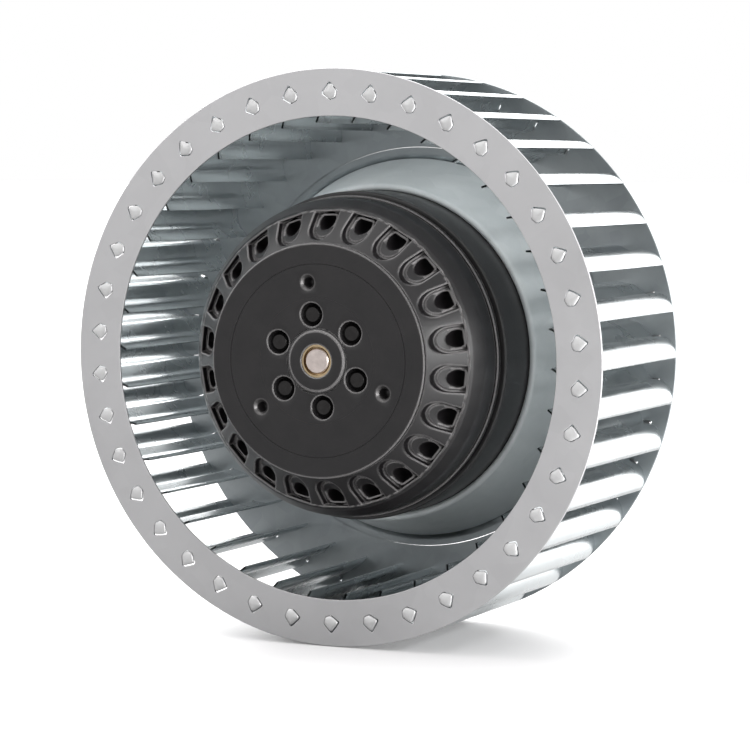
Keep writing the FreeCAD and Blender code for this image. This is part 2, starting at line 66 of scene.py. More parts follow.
# Inlet ring: flat galvanised sheet, 0.8 mm, punched with a kite-shaped window for each blade's tongue.
# Its edges are sheared and slightly rounded.
MM = 0.001
blade_count = 38
pitch = 360.0 / blade_count


def mesh_piece(name, grids, body):
    """Object from two-parameter grids: (points of shape (..., rows, columns, 3), wraps, flipped, smooth)."""
    vertices, faces, shades = [], [], []
    start = 0
    for points, wraps, flipped, smooth in grids:
        rows, columns = points.shape[-3:-1]
        copies = points.reshape(-1, rows, columns, 3)
        i = np.arange(rows if wraps[0] else rows - 1)
        j = np.arange(columns if wraps[1] else columns - 1)
        i, j = [a.ravel() for a in np.meshgrid(i, j, indexing="ij")]
        next_i = (i + 1) % rows
        next_j = (j + 1) % columns
        here, below = i * columns, next_i * columns
        quads = np.stack([here + j, below + j, below + next_j, here + next_j], 1)
        if flipped:
            quads = quads[:, ::-1]
        offsets = start + np.arange(len(copies)) * rows * columns
        faces.append((quads[None] + offsets[:, None, None]).reshape(-1, 4))
        vertices.append(copies.reshape(-1, 3) * MM)
        shades.append(np.full(len(faces[-1]), smooth))
        start += copies.shape[0] * rows * columns
    vertices, faces, shades = [np.concatenate(a) for a in (vertices, faces, shades)]
    mesh = bpy.data.meshes.new(name)
    mesh.vertices.add(len(vertices))
    mesh.vertices.foreach_set("co", vertices.ravel())
    mesh.loops.add(faces.size)
    mesh.loops.foreach_set("vertex_index", faces.ravel())
    mesh.polygons.add(len(faces))
    mesh.polygons.foreach_set("loop_start", np.arange(len(faces)) * 4)
    mesh.polygons.foreach_set("use_smooth", shades)
    mesh.update(calc_edges=True)
    piece = bpy.data.objects.new(name, mesh)
    bpy.context.scene.collection.objects.link(piece)
    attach(piece, body)
    return piece


def turned(points, degrees):
    """Points turned clockwise about Y: x' = x cos a + z sin a, z' = z cos a - x sin a."""
    a = np.radians(degrees)
    x, y, z = np.moveaxis(np.asarray(points, float), -1, 0)
    x, y, z = np.broadcast_arrays(x * np.cos(a) + z * np.sin(a), y, z * np.cos(a) - x * np.sin(a))
    return np.stack([x, y, z], -1)


def spun(grid, count, start=0.0):
    """Copies of one grid of points, evenly turned about Y from a start angle."""
    steps = start + np.arange(count) * 360.0 / count
    return turned(grid[None], steps[:, None, None])


def lathe(profile, segments=190):
    """Surface of revolution: (r, y) profile points turned about Y, x = r sin a, z = r cos a."""
    profile = np.asarray(profile, float)
    a = np.linspace(0, 2 * np.pi, segments, endpoint=False)
    r, y = profile[:, :1], profile[:, 1:]
    return np.stack([r * np.sin(a), np.broadcast_to(y, (len(r), segments)), r * np.cos(a)], -1)


def rounded(points, steps=5):
    """Polyline (a, b, radius) with each inner corner replaced by an arc of steps + 1 points."""
    out = []
    for k, (a, b, radius) in enumerate(points):
        here = np.array([a, b], float)
        if radius <= 0 or k in (0, len(points) - 1):
            out.append(here)
            continue
        to_last = np.array(points[k - 1][:2], float) - here
        to_next = np.array(points[k + 1][:2], float) - here
        to_last /= np.linalg.norm(to_last)
        to_next /= np.linalg.norm(to_next)
        half = math.acos(np.clip(to_last @ to_next, -1, 1)) / 2
        bisector = (to_last + to_next) / np.linalg.norm(to_last + to_next)
        centre = here + bisector * radius / math.sin(half)
        first = here + to_last * radius / math.tan(half) - centre
        last = here + to_next * radius / math.tan(half) - centre
        for t in np.linspace(0, 1, steps + 1):
            arm = first * (1 - t) + last * t
            out.append(centre + arm / np.linalg.norm(arm) * radius)
    return np.array(out)


def loop_points(corners, count):
    """Closed polygon sampled at count points, the same number on each side, starting at its first corner."""
    corners = np.asarray(corners, float)
    t = np.arange(count) * len(corners) / count
    k = t.astype(int)
    f = (t - k)[:, None]
    return corners[k] * (1 - f) + corners[(k + 1) % len(corners)] * f


def sector_rim(r0, r1, half_angle, count):
    """Closed edge of a ring sector in (x, z), clockwise from the middle of its outer side.

    An eighth of the points runs to each outer corner, and a quarter along each flank and the inner side.
    """
    q = count // 8
    a = np.radians(half_angle)
    up_to = np.linspace(0, 1, q, endpoint=False)
    along = np.linspace(0, 1, 2 * q, endpoint=False)
    angle = np.concatenate([a * up_to, np.full(2 * q, a), a - 2 * a * along,
                            np.full(2 * q, -a), a * up_to - a])
    radius = np.concatenate([np.full(q, r1), r1 + (r0 - r1) * along, np.full(2 * q, r0),
                             r0 + (r1 - r0) * along, np.full(q, r1)])
    return np.stack([radius * np.sin(angle), radius * np.cos(angle)], 1)


def collar(loops, heights):
    """Grid of nested closed loops (x, z), each at its height y, in rows from the outermost loop inwards."""
    return np.array([np.stack([loop[:, 0], np.broadcast_to(height, len(loop)), loop[:, 1]], 1)
                     for loop, height in zip(loops, heights)])


wheel_radius = 90.0
inlet_radius = 75.3
ring_front = -72.0
sheet = 0.8
sheared_edge = 0.18
punched_edge = 0.05
window_samples = 40
rim_segments = 380
kite = [(-0.3, 86.15), (2.45, 83.2), (1.9, 80.8), (-0.2, 80.15), (-3.25, 82.25)]


def softened(loop, times):
    """Closed loop with its corners rounded: each point moved to the mean (a + 2b + c) / 4, several times."""
    for k in range(times):
        loop = (np.roll(loop, 1, 0) + 2 * loop + np.roll(loop, -1, 0)) / 4
    return loop


def sheet_ring(front, rear, inner, outer, hole, soft=True):
    """Punched ring: sectors round the windows on both faces, window walls, and rims rounded by quarter arcs.

    The loops that lie close round a window are the window's outline, grown by a few hundredths.
    """
    edge = sheared_edge
    rim = sector_rim(inner + edge, outer - edge, pitch / 2, window_samples)
    middle = hole.mean(0)
    around = [middle + (hole - middle) * grown for grown in (1.10, 1.07, 1.04)]
    loops = [rim, rim * 0.5 + around[0] * 0.5] + around + [hole]
    flat = len(loops) - 1
    face = collar(loops, [front] * flat + [front + punched_edge])
    behind = collar(loops, [rear] * flat + [rear - punched_edge])
    wall = collar([hole, hole], [front + punched_edge, rear - punched_edge])
    turn = np.linspace(0, np.pi / 2, 4)
    s, c = edge * np.sin(turn), edge * np.cos(turn)
    lip = np.concatenate([np.stack([outer - edge + s, front + edge - c], 1),
                          np.stack([outer - edge + c, rear - edge + s], 1)])
    mouth = np.concatenate([np.stack([inner + edge - s, front + edge - c], 1),
                            np.stack([inner + edge - c, rear - edge + s], 1)])
    return [(spun(face, blade_count), (False, True), False, soft),
            (spun(behind, blade_count), (False, True), True, soft),
            (spun(wall, blade_count), (False, True), False, True),
            (lathe(lip, rim_segments), (False, True), True, True),
            (lathe(mouth, rim_segments), (False, True), False, True)]


def value_node(nodes, kind, **settings):
    """A shader node with its settings: names of sockets or properties."""
    node = nodes.new(kind)
    for key, value in settings.items():
        if hasattr(node, key):
            setattr(node, key, value)
        else:
            node.inputs[key.replace("_", " ")].default_value = value
    return node


def effect_group(name, inputs, outputs):
    """Empty shader node group with named sockets, from (name, kind) pairs, and its input and output nodes."""
    group = bpy.data.node_groups.new(name, "ShaderNodeTree")
    for way, sockets in (("INPUT", inputs), ("OUTPUT", outputs)):
        for socket, kind in sockets:
            group.interface.new_socket(socket, in_out=way, socket_type="NodeSocket" + kind)
    return group, group.nodes.new("NodeGroupInput"), group.nodes.new("NodeGroupOutput")


def placed_material(name, group, metallic, values):
    """Material with colour, roughness and normal from an effect's group, placed with its own values."""
    material = bpy.data.materials.new(name)
    material.use_nodes = True
    shader = material.node_tree.nodes["Principled BSDF"]
    shader.inputs["Metallic"].default_value = metallic
    finish = material.node_tree.nodes.new("ShaderNodeGroup")
    finish.node_tree = group
    for socket, value in values.items():
        finish.inputs[socket].default_value = value
    for socket, target in (("Colour", "Base Color"), ("Roughness", "Roughness"), ("Normal", "Normal")):
        material.node_tree.links.new(finish.outputs[socket], shader.inputs[target])
    return material


finish_outputs = [("Colour", "Color"), ("Roughness", "Float"), ("Normal", "Vector")]


def zinc_group():
    """Hot-dip zinc: large faint spangle, fine mill grain and cloudy dulling.

    Colour goes from Dark to Light with the cloud, mixed with the crystals by the share Spangle. Roughness
    goes from Smooth to Rough with the cloud alone. Normal is fine grain on broad waves.
    """
    inputs = [("Dark", "Color"), ("Light", "Color"), ("Smooth", "Float"), ("Rough", "Float"),
              ("Spangle", "Float")]
    group, own, out = effect_group("zinc", inputs, finish_outputs)
    n, link = group.nodes, group.links.new
    place = n.new("ShaderNodeTexCoord")
    cells = value_node(n, "ShaderNodeTexVoronoi", Scale=160.0)
    cells.inputs["Randomness"].default_value = 1.0
    grey = n.new("ShaderNodeSeparateColor")
    cloud = value_node(n, "ShaderNodeTexNoise", Scale=38.0, Detail=5.0, Roughness=0.6)
    grain = value_node(n, "ShaderNodeTexNoise", Scale=1400.0, Detail=2.0, Roughness=0.5)
    waves = value_node(n, "ShaderNodeTexNoise", Scale=55.0, Detail=1.0, Roughness=0.4)
    fine = value_node(n, "ShaderNodeBump", Strength=0.03, Distance=0.0001)
    broad = value_node(n, "ShaderNodeBump", Strength=0.10, Distance=0.0005)
    blend = value_node(n, "ShaderNodeMix", data_type="FLOAT")
    spread = n.new("ShaderNodeMapRange")
    spread.inputs["From Min"].default_value = 0.25
    spread.inputs["From Max"].default_value = 0.75
    colour = value_node(n, "ShaderNodeMix", data_type="RGBA")
    roughness = n.new("ShaderNodeMapRange")
    roughness.inputs["From Min"].default_value = 0.3
    roughness.inputs["From Max"].default_value = 0.7
    for texture in (cells, cloud, grain, waves):
        link(place.outputs["Object"], texture.inputs["Vector"])
    link(cells.outputs["Color"], grey.inputs["Color"])
    link(waves.outputs["Fac"], broad.inputs["Height"])
    link(grain.outputs["Fac"], fine.inputs["Height"])
    link(broad.outputs["Normal"], fine.inputs["Normal"])
    link(own.outputs["Spangle"], blend.inputs["Factor"])
    link(cloud.outputs["Fac"], blend.inputs["A"])
    link(grey.outputs["Red"], blend.inputs["B"])
    link(blend.outputs["Result"], spread.inputs["Value"])
    link(spread.outputs["Result"], colour.inputs["Factor"])
    link(own.outputs["Dark"], colour.inputs["A"])
    link(own.outputs["Light"], colour.inputs["B"])
    link(cloud.outputs["Fac"], roughness.inputs["Value"])
    link(own.outputs["Smooth"], roughness.inputs["To Min"])
    link(own.outputs["Rough"], roughness.inputs["To Max"])
    link(colour.outputs["Result"], out.inputs["Colour"])
    link(roughness.outputs["Result"], out.inputs["Roughness"])
    link(fine.outputs["Normal"], out.inputs["Normal"])
    return group


zinc = zinc_group()


def zinc_material(name, dark, light, smooth, rough, spangle=0.15, bare=1.0):
    """Galvanised sheet. The bare share is metal, and the rest is dull zinc oxide."""
    own_values = {"Dark": (*dark, 1), "Light": (*light, 1), "Smooth": smooth, "Rough": rough,
                  "Spangle": spangle}
    return placed_material(name, zinc, bare, own_values)


ring_window = softened(loop_points(kite, window_samples), 2)
ring_grids = sheet_ring(ring_front, ring_front + sheet, inlet_radius, wheel_radius, ring_window)
inlet_ring = mesh_piece("inlet_ring", ring_grids, "rotor")
ring_zinc = zinc_material("ring_zinc", (0.57, 0.565, 0.575), (0.63, 0.625, 0.635), 0.42, 0.50)
inlet_ring.data.materials.append(ring_zinc)
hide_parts("front_ring")

# Rear plate: the same sheet, drawn up into a cone whose folded collar is pressed on the rotor. The drawn zinc
# of the cone is duller than the flat plate, and its near-white colour is painted light on the cone. The flat
# plate's teal-grey is darker than the ring's, partly as painted shade inside the wheel. Its fold, in the
# cone's pale colour, shows as a bright lip round the black band.
plate_rear = -4.8
cone_root = 66.0
cone_bend = 62.4
drawn_radius = 62.3
fold_width = 1.5
fold_bend = 0.75
collar_radius = 52.42
collar_front = -36.1
collar_end = -28.1
plate_middle = plate_rear - sheet / 2
plate_path = [(cone_root, plate_middle, 0), (cone_bend, plate_middle, 2.5),
              (collar_radius + fold_width, collar_front, fold_bend), (collar_radius, collar_front, fold_bend),
              (collar_radius, collar_end, 0)]


def strip_sides(path, thickness, steps=8):
    """Both sides of a bent strip: the rounded centre line moved half the thickness along its normals."""
    line = rounded(path, steps)
    along = np.gradient(line, axis=0)
    along /= np.linalg.norm(along, axis=1)[:, None]
    normal = np.stack([-along[:, 1], along[:, 0]], 1) * thickness / 2
    return line + normal, line - normal


hub_rear, hub_front = strip_sides(plate_path, sheet)
slot = loop_points([(1.4, 84.85), (2.0, 84.85), (2.0, 81.95), (0.8, 81.95), (0.8, 84.85)], window_samples)
plate_grids = sheet_ring(plate_rear - sheet, plate_rear, cone_root, wheel_radius, slot, soft=False)[:4]
plate_grids += [(lathe(hub_front), (False, True), True, True), (lathe(hub_rear), (False, True), False, True),
                (lathe([hub_front[-1], hub_rear[-1]]), (False, True), True, True)]
rear_plate = mesh_piece("rear_plate", plate_grids, "rotor")
# Painted shade and light: the flat plate is darker than the ring to stand in for shade inside the wheel, and
# the cone is near white to stand in for light falling on it.
plate_zinc_painted_shade = zinc_material("plate_zinc_painted_shade", (0.29, 0.315, 0.33), (0.39, 0.42, 0.43), 0.32, 0.42)
drawn_zinc_painted_light = zinc_material("drawn_zinc_painted_light", (0.76, 0.82, 0.83), (0.92, 0.97, 0.98), 0.40, 0.55, bare=0.20)
rear_plate.data.materials.append(plate_zinc_painted_shade)
rear_plate.data.materials.append(drawn_zinc_painted_light)
for face in rear_plate.data.polygons:
    face.material_index = int(math.hypot(face.center.x, face.center.z) < drawn_radius * MM)
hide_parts("back_plate")

# Blades: bright strip, 0.6 mm, roll-formed to a slanting leg, a short web and a lip, sheared at both ends.
# Each end's tongue stands through its plate and is hammered over into a small bright kite.
web_x = 1.3
blade_thickness = 0.6
blade_start = 0.1
end_play = 0.02
belly_spread = 0.08
turn_spread = 0.1
neck_overlap = 0.1
heel_radius = 73.5
heel_angle = math.radians(-4.1)
tip_radius = 89.7
tip_angle = math.radians(5.3)
heel = (heel_radius * math.sin(heel_angle), heel_radius * math.cos(heel_angle))
tip = (tip_radius * math.sin(tip_angle), tip_radius * math.cos(tip_angle))
blade_path = [(*heel, 0), (-3.0, 78.4, 5.0), (web_x, 82.0, 2.0), (web_x, tip[1], 5.3), (*tip, 0)]
tongue = np.array([(1.0, 84.7), (1.6, 84.7), (1.6, 82.1), (1.0, 82.1)])
rng = np.random.default_rng(7)


def blade_skin():
    """Closed section loop swept along Y, with a faint belly of b sin(pi v), v from 0 to 1 along the strip.

    The belly b and a small turn out of pitch are drawn for each blade, as on a wheel put together by hand.
    """
    one, other = strip_sides(blade_path, blade_thickness, 10)
    loop = np.concatenate([one, other[::-1]])
    v = np.linspace(0, 1, 9)[:, None]
    y = (ring_front + sheet + end_play) * (1 - v) + (plate_rear - sheet - end_play) * v
    belly = rng.normal(0, belly_spread, (blade_count, 1, 1)) * np.sin(np.pi * v)
    x, y, z = np.broadcast_arrays(loop[:, 0] + belly, y, loop[:, 1])
    turns = blade_start + np.arange(blade_count) * pitch + rng.normal(0, turn_spread, blade_count)
    return turned(np.stack([x, y, z], -1), turns[:, None, None])


head_outline = [(-0.3, 85.65), (2.1, 83.1), (1.65, 80.95), (-0.2, 80.3), (-2.95, 82.3)]
head_middle = np.array([-0.2, 82.9])
inlet_depth = -0.5
rear_gap = 0.02


def tongue_heads(face, out, sunk):
    """Low pillow on the kite outline, closed below at the sunk depth; out is -1 at the inlet, 1 behind."""
    outline = softened(loop_points(head_outline, 30), 2)
    rows = [(0.02, sunk), (0.99, sunk), (1.0, 0.08), (0.94, 0.24), (0.80, 0.36), (0.5, 0.46), (0.02, 0.50)]
    loops = [head_middle + (outline - head_middle) * share for share, lift in rows]
    return collar(loops, [face + out * lift for share, lift in rows])


inlet_neck = (ring_front + neck_overlap, ring_front + sheet + neck_overlap)
rear_neck = (plate_rear - sheet - neck_overlap, plate_rear + neck_overlap)
necks = [collar([tongue, tongue], ends) for ends in (inlet_neck, rear_neck)]
blade_grids = [(blade_skin(), (False, True), False, True)]
blade_grids += [(spun(neck, blade_count, blade_start), (False, True), False, False) for neck in necks]
inlet_heads = spun(tongue_heads(ring_front, -1, inlet_depth), blade_count, blade_start)
rear_heads = spun(tongue_heads(plate_rear, 1, rear_gap), blade_count, blade_start)
head_grids = [(inlet_heads, (False, True), False, True), (rear_heads, (False, True), True, True)]
blades = mesh_piece("wheel_blades", blade_grids, "rotor")
strip_zinc = zinc_material("strip_zinc", (0.60, 0.63, 0.64), (0.72, 0.75, 0.76), 0.22, 0.32, spangle=0.03)
blades.data.materials.append(strip_zinc)
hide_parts("blades")
heads = mesh_piece("folded_tongues", head_grids, "rotor")
hammered_zinc = zinc_material("hammered_zinc", (0.68, 0.675, 0.68), (0.80, 0.80, 0.80), 0.44, 0.54)
heads.data.materials.append(hammered_zinc)

# Rotor bell: black painted casting. A raised centre disc with sunk rivets and tapped holes, a cone with
# 22 arch-shaped vent pockets, a rounded shoulder and two turned grooves.
disc_face = -81.5
disc_radius = 36.3
cone_front = -80.2
cone_slope = 10.4 / 11.0
bore_radius = 5.12
boss_radius = 9.2
rivet_zone = 10.2
tapped_zone = 19.5
rim_zone = 30.0
corner_steps = 4
pole = 0.05
vent_count = 22
vent_start = -1.8
vent_samples = 96
vent_outer = 45.9
vent_half = 4.2
vent_centre = 41.4
vent_depth = 3.0
hole_centre = (0.0, 42.9)
cone_end = 46.4


def arch(grow):
    """Closed arch outline in (x, z): straight outer side and flanks, half circle inside, grown by an offset.

    An eighth of the points each on the halves of the outer side and on the flanks, half on the half circle.
    """
    w = vent_half + grow
    top = vent_outer + grow
    q = vent_samples // 8
    k = np.linspace(0, 1, q, endpoint=False)
    a = np.linspace(0, np.pi, 4 * q, endpoint=False)
    x = np.concatenate([w * k, np.full(q, w), w * np.cos(a), np.full(q, -w), w * (k - 1)])
    z = np.concatenate([np.full(q, top), top + (vent_centre - top) * k, vent_centre - w * np.sin(a),
                        vent_centre + (top - vent_centre) * k, np.full(q, top)])
    return np.stack([x, z], 1)


def circle(centre, radius, count):
    """Circle in (x, z), clockwise from its outermost point."""
    a = np.linspace(0, 2 * np.pi, count, endpoint=False)
    return np.stack([centre[0] + radius * np.sin(a), centre[1] + radius * np.cos(a)], 1)


def cone_height(loop):
    """Height y of the cone under each point: its front, plus the slope times the radius past the disc."""
    return cone_front + cone_slope * (np.hypot(loop[:, 0], loop[:, 1]) - disc_radius)


def vent_sector():
    """Cone sector with its pocket, in rows of a loop and its depth below the cone.

    The rows step over a rounded rim, down the wall, over a ridge and into the hole.
    """
    rim = sector_rim(disc_radius, cone_end, 180.0 / vent_count, vent_samples)
    outer = arch(0.45)
    rows = [(rim, 0.0), (rim * 0.5 + outer * 0.5, 0.0), (outer, 0.0), (arch(0.22), 0.05), (arch(0.07), 0.16),
            (arch(0.0), 0.36), (arch(-0.05), vent_depth), (arch(-0.15), vent_depth + 0.35),
            (arch(-0.5), vent_depth + 0.45), (arch(-0.8), vent_depth - 0.05),
            (arch(-1.05), vent_depth - 0.15), (arch(-1.4), vent_depth - 0.05)]
    rows += [(circle(hole_centre, radius, vent_samples), vent_depth + sink)
             for radius, sink in ((2.95, 0.0), (2.72, 0.12), (2.65, 0.4), (2.6, 6.0), (pole, 6.0))]
    return collar([loop for loop, depth in rows], [cone_height(loop) + depth for loop, depth in rows])


def disc_patch(r0, r1, a0, a1, y, rows=3, columns=97):
    """Plain piece of the flat disc between two radii and two angles: x = r sin a, z = r cos a."""
    r = np.linspace(r0, r1, rows)[:, None]
    a = np.radians(np.linspace(a0, a1, columns))[None]
    return np.stack([r * np.sin(a), np.full((rows, columns), y), r * np.cos(a)], -1)[:, ::-1]


def sunk_hole(r0, r1, half_angle, centre, steps, count=48):
    """Disc sector with a round hole: steps of (radius, depth) lead from the edge down into the hole."""
    rim = sector_rim(r0, r1, half_angle, count)
    first = circle(centre, steps[0][0], count)
    loops = [rim, rim * 0.5 + first * 0.5] + [circle(centre, radius, count) for radius, depth in steps]
    return collar(loops, [disc_face, disc_face] + [disc_face + depth for radius, depth in steps])


hole_start = -7.4
rivet_count = 6
rivet_circle = 14.4
tapped_count = 3
tapped_circle = 24.35
tapped_half = 12
sink_steps = [(3.95, 0.0), (3.78, 0.05), (3.7, 0.2), (3.66, 2.2), (1.6, 2.2)]
tapped_steps = [(2.6, 0.0), (2.45, 0.05), (1.7, 0.75), (1.65, 0.85), (1.62, 5.0), (pole, 5.0)]
rivet_sector = sunk_hole(rivet_zone, tapped_zone, 180 / rivet_count, (0, rivet_circle), sink_steps)
tapped_sector = sunk_hole(tapped_zone, rim_zone, tapped_half, (0, tapped_circle), tapped_steps)
plain_sector = disc_patch(tapped_zone, rim_zone, tapped_half, 360 / tapped_count - tapped_half, disc_face)
boss_face = disc_face - 0.5
boss = rounded([(bore_radius, disc_face + 2.0, 0), (bore_radius, boss_face, 0.15),
                (boss_radius, boss_face, 0.25), (boss_radius + 0.15, disc_face, 0.1),
                (rivet_zone, disc_face, 0)], corner_steps)
rim_overlap = 0.3
rim_face = disc_face + 0.004
disc_rim = rounded([(rim_zone - rim_overlap, rim_face, 0), (disc_radius - 0.5, rim_face, 0),
                    (disc_radius, rim_face, 0.3), (disc_radius + 0.02, cone_front + 0.1, 0)], corner_steps)
groove_front = -58.9
groove_back = -58.05
step_back = -56.1
groove_radius = 49.4
flare_radius = 50.7
skirt_radius = 50.0
back_of_bell = -54.63
cone_back = cone_front + cone_slope * (cone_end - disc_radius)
side = rounded([(cone_end, cone_back, 0), (47.3, -69.8, 1.0), (49.8, -66.0, 2.5), (50.2, groove_front, 0.25),
                (groove_radius, groove_front + 0.05, 0.15), (groove_radius, groove_back - 0.05, 0.15),
                (flare_radius, groove_back, 0.25), (flare_radius, step_back, 0.25),
                (skirt_radius, step_back + 0.05, 0.15), (skirt_radius, back_of_bell, 0)], corner_steps)
cast_front = -22.0
cast_back = -16.47
cast_inner = 40.2
cast_outer = 50.5
end_ring = rounded([(cast_inner, cast_front, 0), (cast_inner, cast_back, 0.6), (cast_outer, cast_back, 0.6),
                    (cast_outer, cast_front, 0)], corner_steps)
bell_grids = [(spun(vent_sector(), vent_count, vent_start), (False, True), False, True),
              (spun(rivet_sector, rivet_count, hole_start), (False, True), False, True),
              (spun(tapped_sector, tapped_count, hole_start), (False, True), False, True),
              (spun(plain_sector, tapped_count, hole_start), (False, False), False, True)]
bell_grids += [(lathe(profile), (False, True), False, True) for profile in (boss, disc_rim, side, end_ring)]
bell = mesh_piece("rotor_bell", bell_grids, "rotor")


def paint_group():
    """Thin black paint on a casting: fine peel, dull dust patches, and lighter edges that are partly worn
    paint and partly painted highlight.

    Colour goes from Base to Dusty with the dust, and to the light edge colour where the rounded normal leaves
    the true one; that edge colour is partly worn paint and partly a painted highlight along the edges.
    Roughness goes from Smooth to Rough with the dust. Normal is the peel on the rounded edges.
    """
    inputs = [("Base", "Color"), ("Dusty", "Color"), ("WearAndHighlight", "Color"), ("Smooth", "Float"),
              ("Rough", "Float")]
    group, own, out = effect_group("paint", inputs, finish_outputs)
    n, link = group.nodes, group.links.new
    place = n.new("ShaderNodeTexCoord")
    peel = value_node(n, "ShaderNodeTexNoise", Scale=900.0, Detail=3.0, Roughness=0.55)
    dust = value_node(n, "ShaderNodeTexNoise", Scale=120.0, Detail=6.0, Roughness=0.65)
    bevel = value_node(n, "ShaderNodeBevel", samples=4, Radius=0.0007)
    shape = n.new("ShaderNodeNewGeometry")
    compare = value_node(n, "ShaderNodeVectorMath", operation="DOT_PRODUCT")
    edge = n.new("ShaderNodeMapRange")
    edge.inputs["From Min"].default_value = 0.998
    edge.inputs["From Max"].default_value = 0.95
    bump = value_node(n, "ShaderNodeBump", Strength=0.12, Distance=0.0002)
    spread = n.new("ShaderNodeMapRange")
    spread.inputs["From Min"].default_value = 0.35
    spread.inputs["From Max"].default_value = 0.8
    colour = value_node(n, "ShaderNodeMix", data_type="RGBA")
    wear_and_highlight_mix = value_node(n, "ShaderNodeMix", data_type="RGBA")
    roughness = n.new("ShaderNodeMapRange")
    link(place.outputs["Object"], peel.inputs["Vector"])
    link(place.outputs["Object"], dust.inputs["Vector"])
    link(bevel.outputs["Normal"], compare.inputs[0])
    link(shape.outputs["Normal"], compare.inputs[1])
    link(compare.outputs["Value"], edge.inputs["Value"])
    link(peel.outputs["Fac"], bump.inputs["Height"])
    link(bevel.outputs["Normal"], bump.inputs["Normal"])
    link(dust.outputs["Fac"], spread.inputs["Value"])
    link(spread.outputs["Result"], colour.inputs["Factor"])
    link(own.outputs["Base"], colour.inputs["A"])
    link(own.outputs["Dusty"], colour.inputs["B"])
    link(edge.outputs["Result"], wear_and_highlight_mix.inputs["Factor"])
    link(colour.outputs["Result"], wear_and_highlight_mix.inputs["A"])
    link(own.outputs["WearAndHighlight"], wear_and_highlight_mix.inputs["B"])
    link(dust.outputs["Fac"], roughness.inputs["Value"])
    link(own.outputs["Smooth"], roughness.inputs["To Min"])
    link(own.outputs["Rough"], roughness.inputs["To Max"])
    link(wear_and_highlight_mix.outputs["Result"], out.inputs["Colour"])
    link(roughness.outputs["Result"], out.inputs["Roughness"])
    link(bump.outputs["Normal"], out.inputs["Normal"])
    return group


paint = paint_group()


def paint_material(name, base, dusty, edge_wear_and_highlight, smooth, rough):
    """Paint or moulding: base colour, dusty patches and lighter edges (partly worn paint, partly painted
    highlight), from smooth to rough.
    """
    own_values = {"Base": (*base, 1), "Dusty": (*dusty, 1), "WearAndHighlight": (*edge_wear_and_highlight, 1), "Smooth": smooth,
                  "Rough": rough}
    return placed_material(name, paint, 0.0, own_values)


# The light grey edge colour on the black bell is partly worn paint and partly a painted highlight along the
# vent rims and edges.
bell_black = paint_material("bell_black", (0.010, 0.009, 0.010), (0.016, 0.014, 0.015), (0.40, 0.385, 0.385),
                            0.28, 0.40)
bell.data.materials.append(bell_black)
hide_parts("rotor_housing")

# Rotor band: the rotor's stacked sheet steel, held in the bell's skirt and ground on its outside. It has the
# same black paint, a little smoother than on the casting.
band_black = paint_material("band_black", (0.018, 0.017, 0.018), (0.026, 0.025, 0.025), (0.06, 0.06, 0.06),
                            0.26, 0.40)


def dress(node, material):
    """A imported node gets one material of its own."""
    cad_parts[node].data.materials.clear()
    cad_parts[node].data.materials.append(material)


dress("rotor_core", band_black)

# Shaft end, bush nose and rivets: ground steel with fine turning marks, a yellow plated ring, and dark heads
# at the bottom of the sunk holes.


def metal_group():
    """Turned or cast bare metal: rings round the axis and small stains.

    Colour is the own Colour times 0.78 to 1 with the stain, Roughness is the own one times 0.8 to 1.25 with
    the stain, and Normal is a wave round Y whose scale is Rings.
    """
    inputs = [("Colour", "Color"), ("Roughness", "Float"), ("Rings", "Float")]
    group, own, out = effect_group("bare_metal", inputs, finish_outputs)
    n, link = group.nodes, group.links.new
    place = n.new("ShaderNodeTexCoord")
    wave = value_node(n, "ShaderNodeTexWave", wave_type="RINGS", rings_direction="Y", Distortion=1.5)
    wave.inputs["Detail"].default_value = 3.0
    stain = value_node(n, "ShaderNodeTexNoise", Scale=420.0, Detail=4.0, Roughness=0.6)
    darker = n.new("ShaderNodeMapRange")
    darker.inputs["From Min"].default_value = 0.3
    darker.inputs["From Max"].default_value = 0.7
    darker.inputs["To Min"].default_value = 0.78
    colour = value_node(n, "ShaderNodeVectorMath", operation="SCALE")
    rougher = n.new("ShaderNodeMapRange")
    rougher.inputs["To Min"].default_value = 0.8
    rougher.inputs["To Max"].default_value = 1.25
    roughness = value_node(n, "ShaderNodeMath", operation="MULTIPLY")
    bump = value_node(n, "ShaderNodeBump", Strength=0.15, Distance=0.00005)
    link(place.outputs["Object"], wave.inputs["Vector"])
    link(place.outputs["Object"], stain.inputs["Vector"])
    link(own.outputs["Rings"], wave.inputs["Scale"])
    link(stain.outputs["Fac"], darker.inputs["Value"])
    link(own.outputs["Colour"], colour.inputs["Vector"])
    link(darker.outputs["Result"], colour.inputs["Scale"])
    link(stain.outputs["Fac"], rougher.inputs["Value"])
    link(own.outputs["Roughness"], roughness.inputs[0])
    link(rougher.outputs["Result"], roughness.inputs[1])
    link(wave.outputs["Fac"], bump.inputs["Height"])
    link(colour.outputs["Vector"], out.inputs["Colour"])
    link(roughness.outputs["Value"], out.inputs["Roughness"])
    link(bump.outputs["Normal"], out.inputs["Normal"])
    return group


bare_metal = metal_group()


def metal_material(name, colour, roughness, rings):
    """Bare metal with its own colour, roughness and density of turning marks."""
    own_values = {"Colour": (*colour, 1), "Roughness": roughness, "Rings": rings}
    return placed_material(name, bare_metal, 1.0, own_values)


dress("shaft", metal_material("shaft_steel", (0.80, 0.70, 0.66), 0.32, 300.0))
dress("shaft_hub", metal_material("bush_yellow", (0.62, 0.48, 0.30), 0.30, 300.0))
dress("hub_rivets", metal_material("rivet_dark", (0.05, 0.048, 0.048), 0.24, 200.0))

# Countersinks of the tapped holes: the tap and the countersink cut through the paint, so their narrow cones
# shine as bare metal.
rim_profile = rounded([(2.62, -0.03, 0), (2.42, -0.03, 0.15), (1.72, 0.68, 0.2), (1.66, 0.95, 0)], 3)
rim_samples = 40
rim_ring = lathe(rim_profile, rim_samples) + np.array((0, disc_face, tapped_circle))
rim_grids = [(spun(rim_ring, tapped_count, hole_start), (False, True), False, True)]
rims = mesh_piece("tapped_rims", rim_grids, "rotor")
rims.data.materials.append(metal_material("rim_bare", (0.16, 0.155, 0.155), 0.36, 400.0))

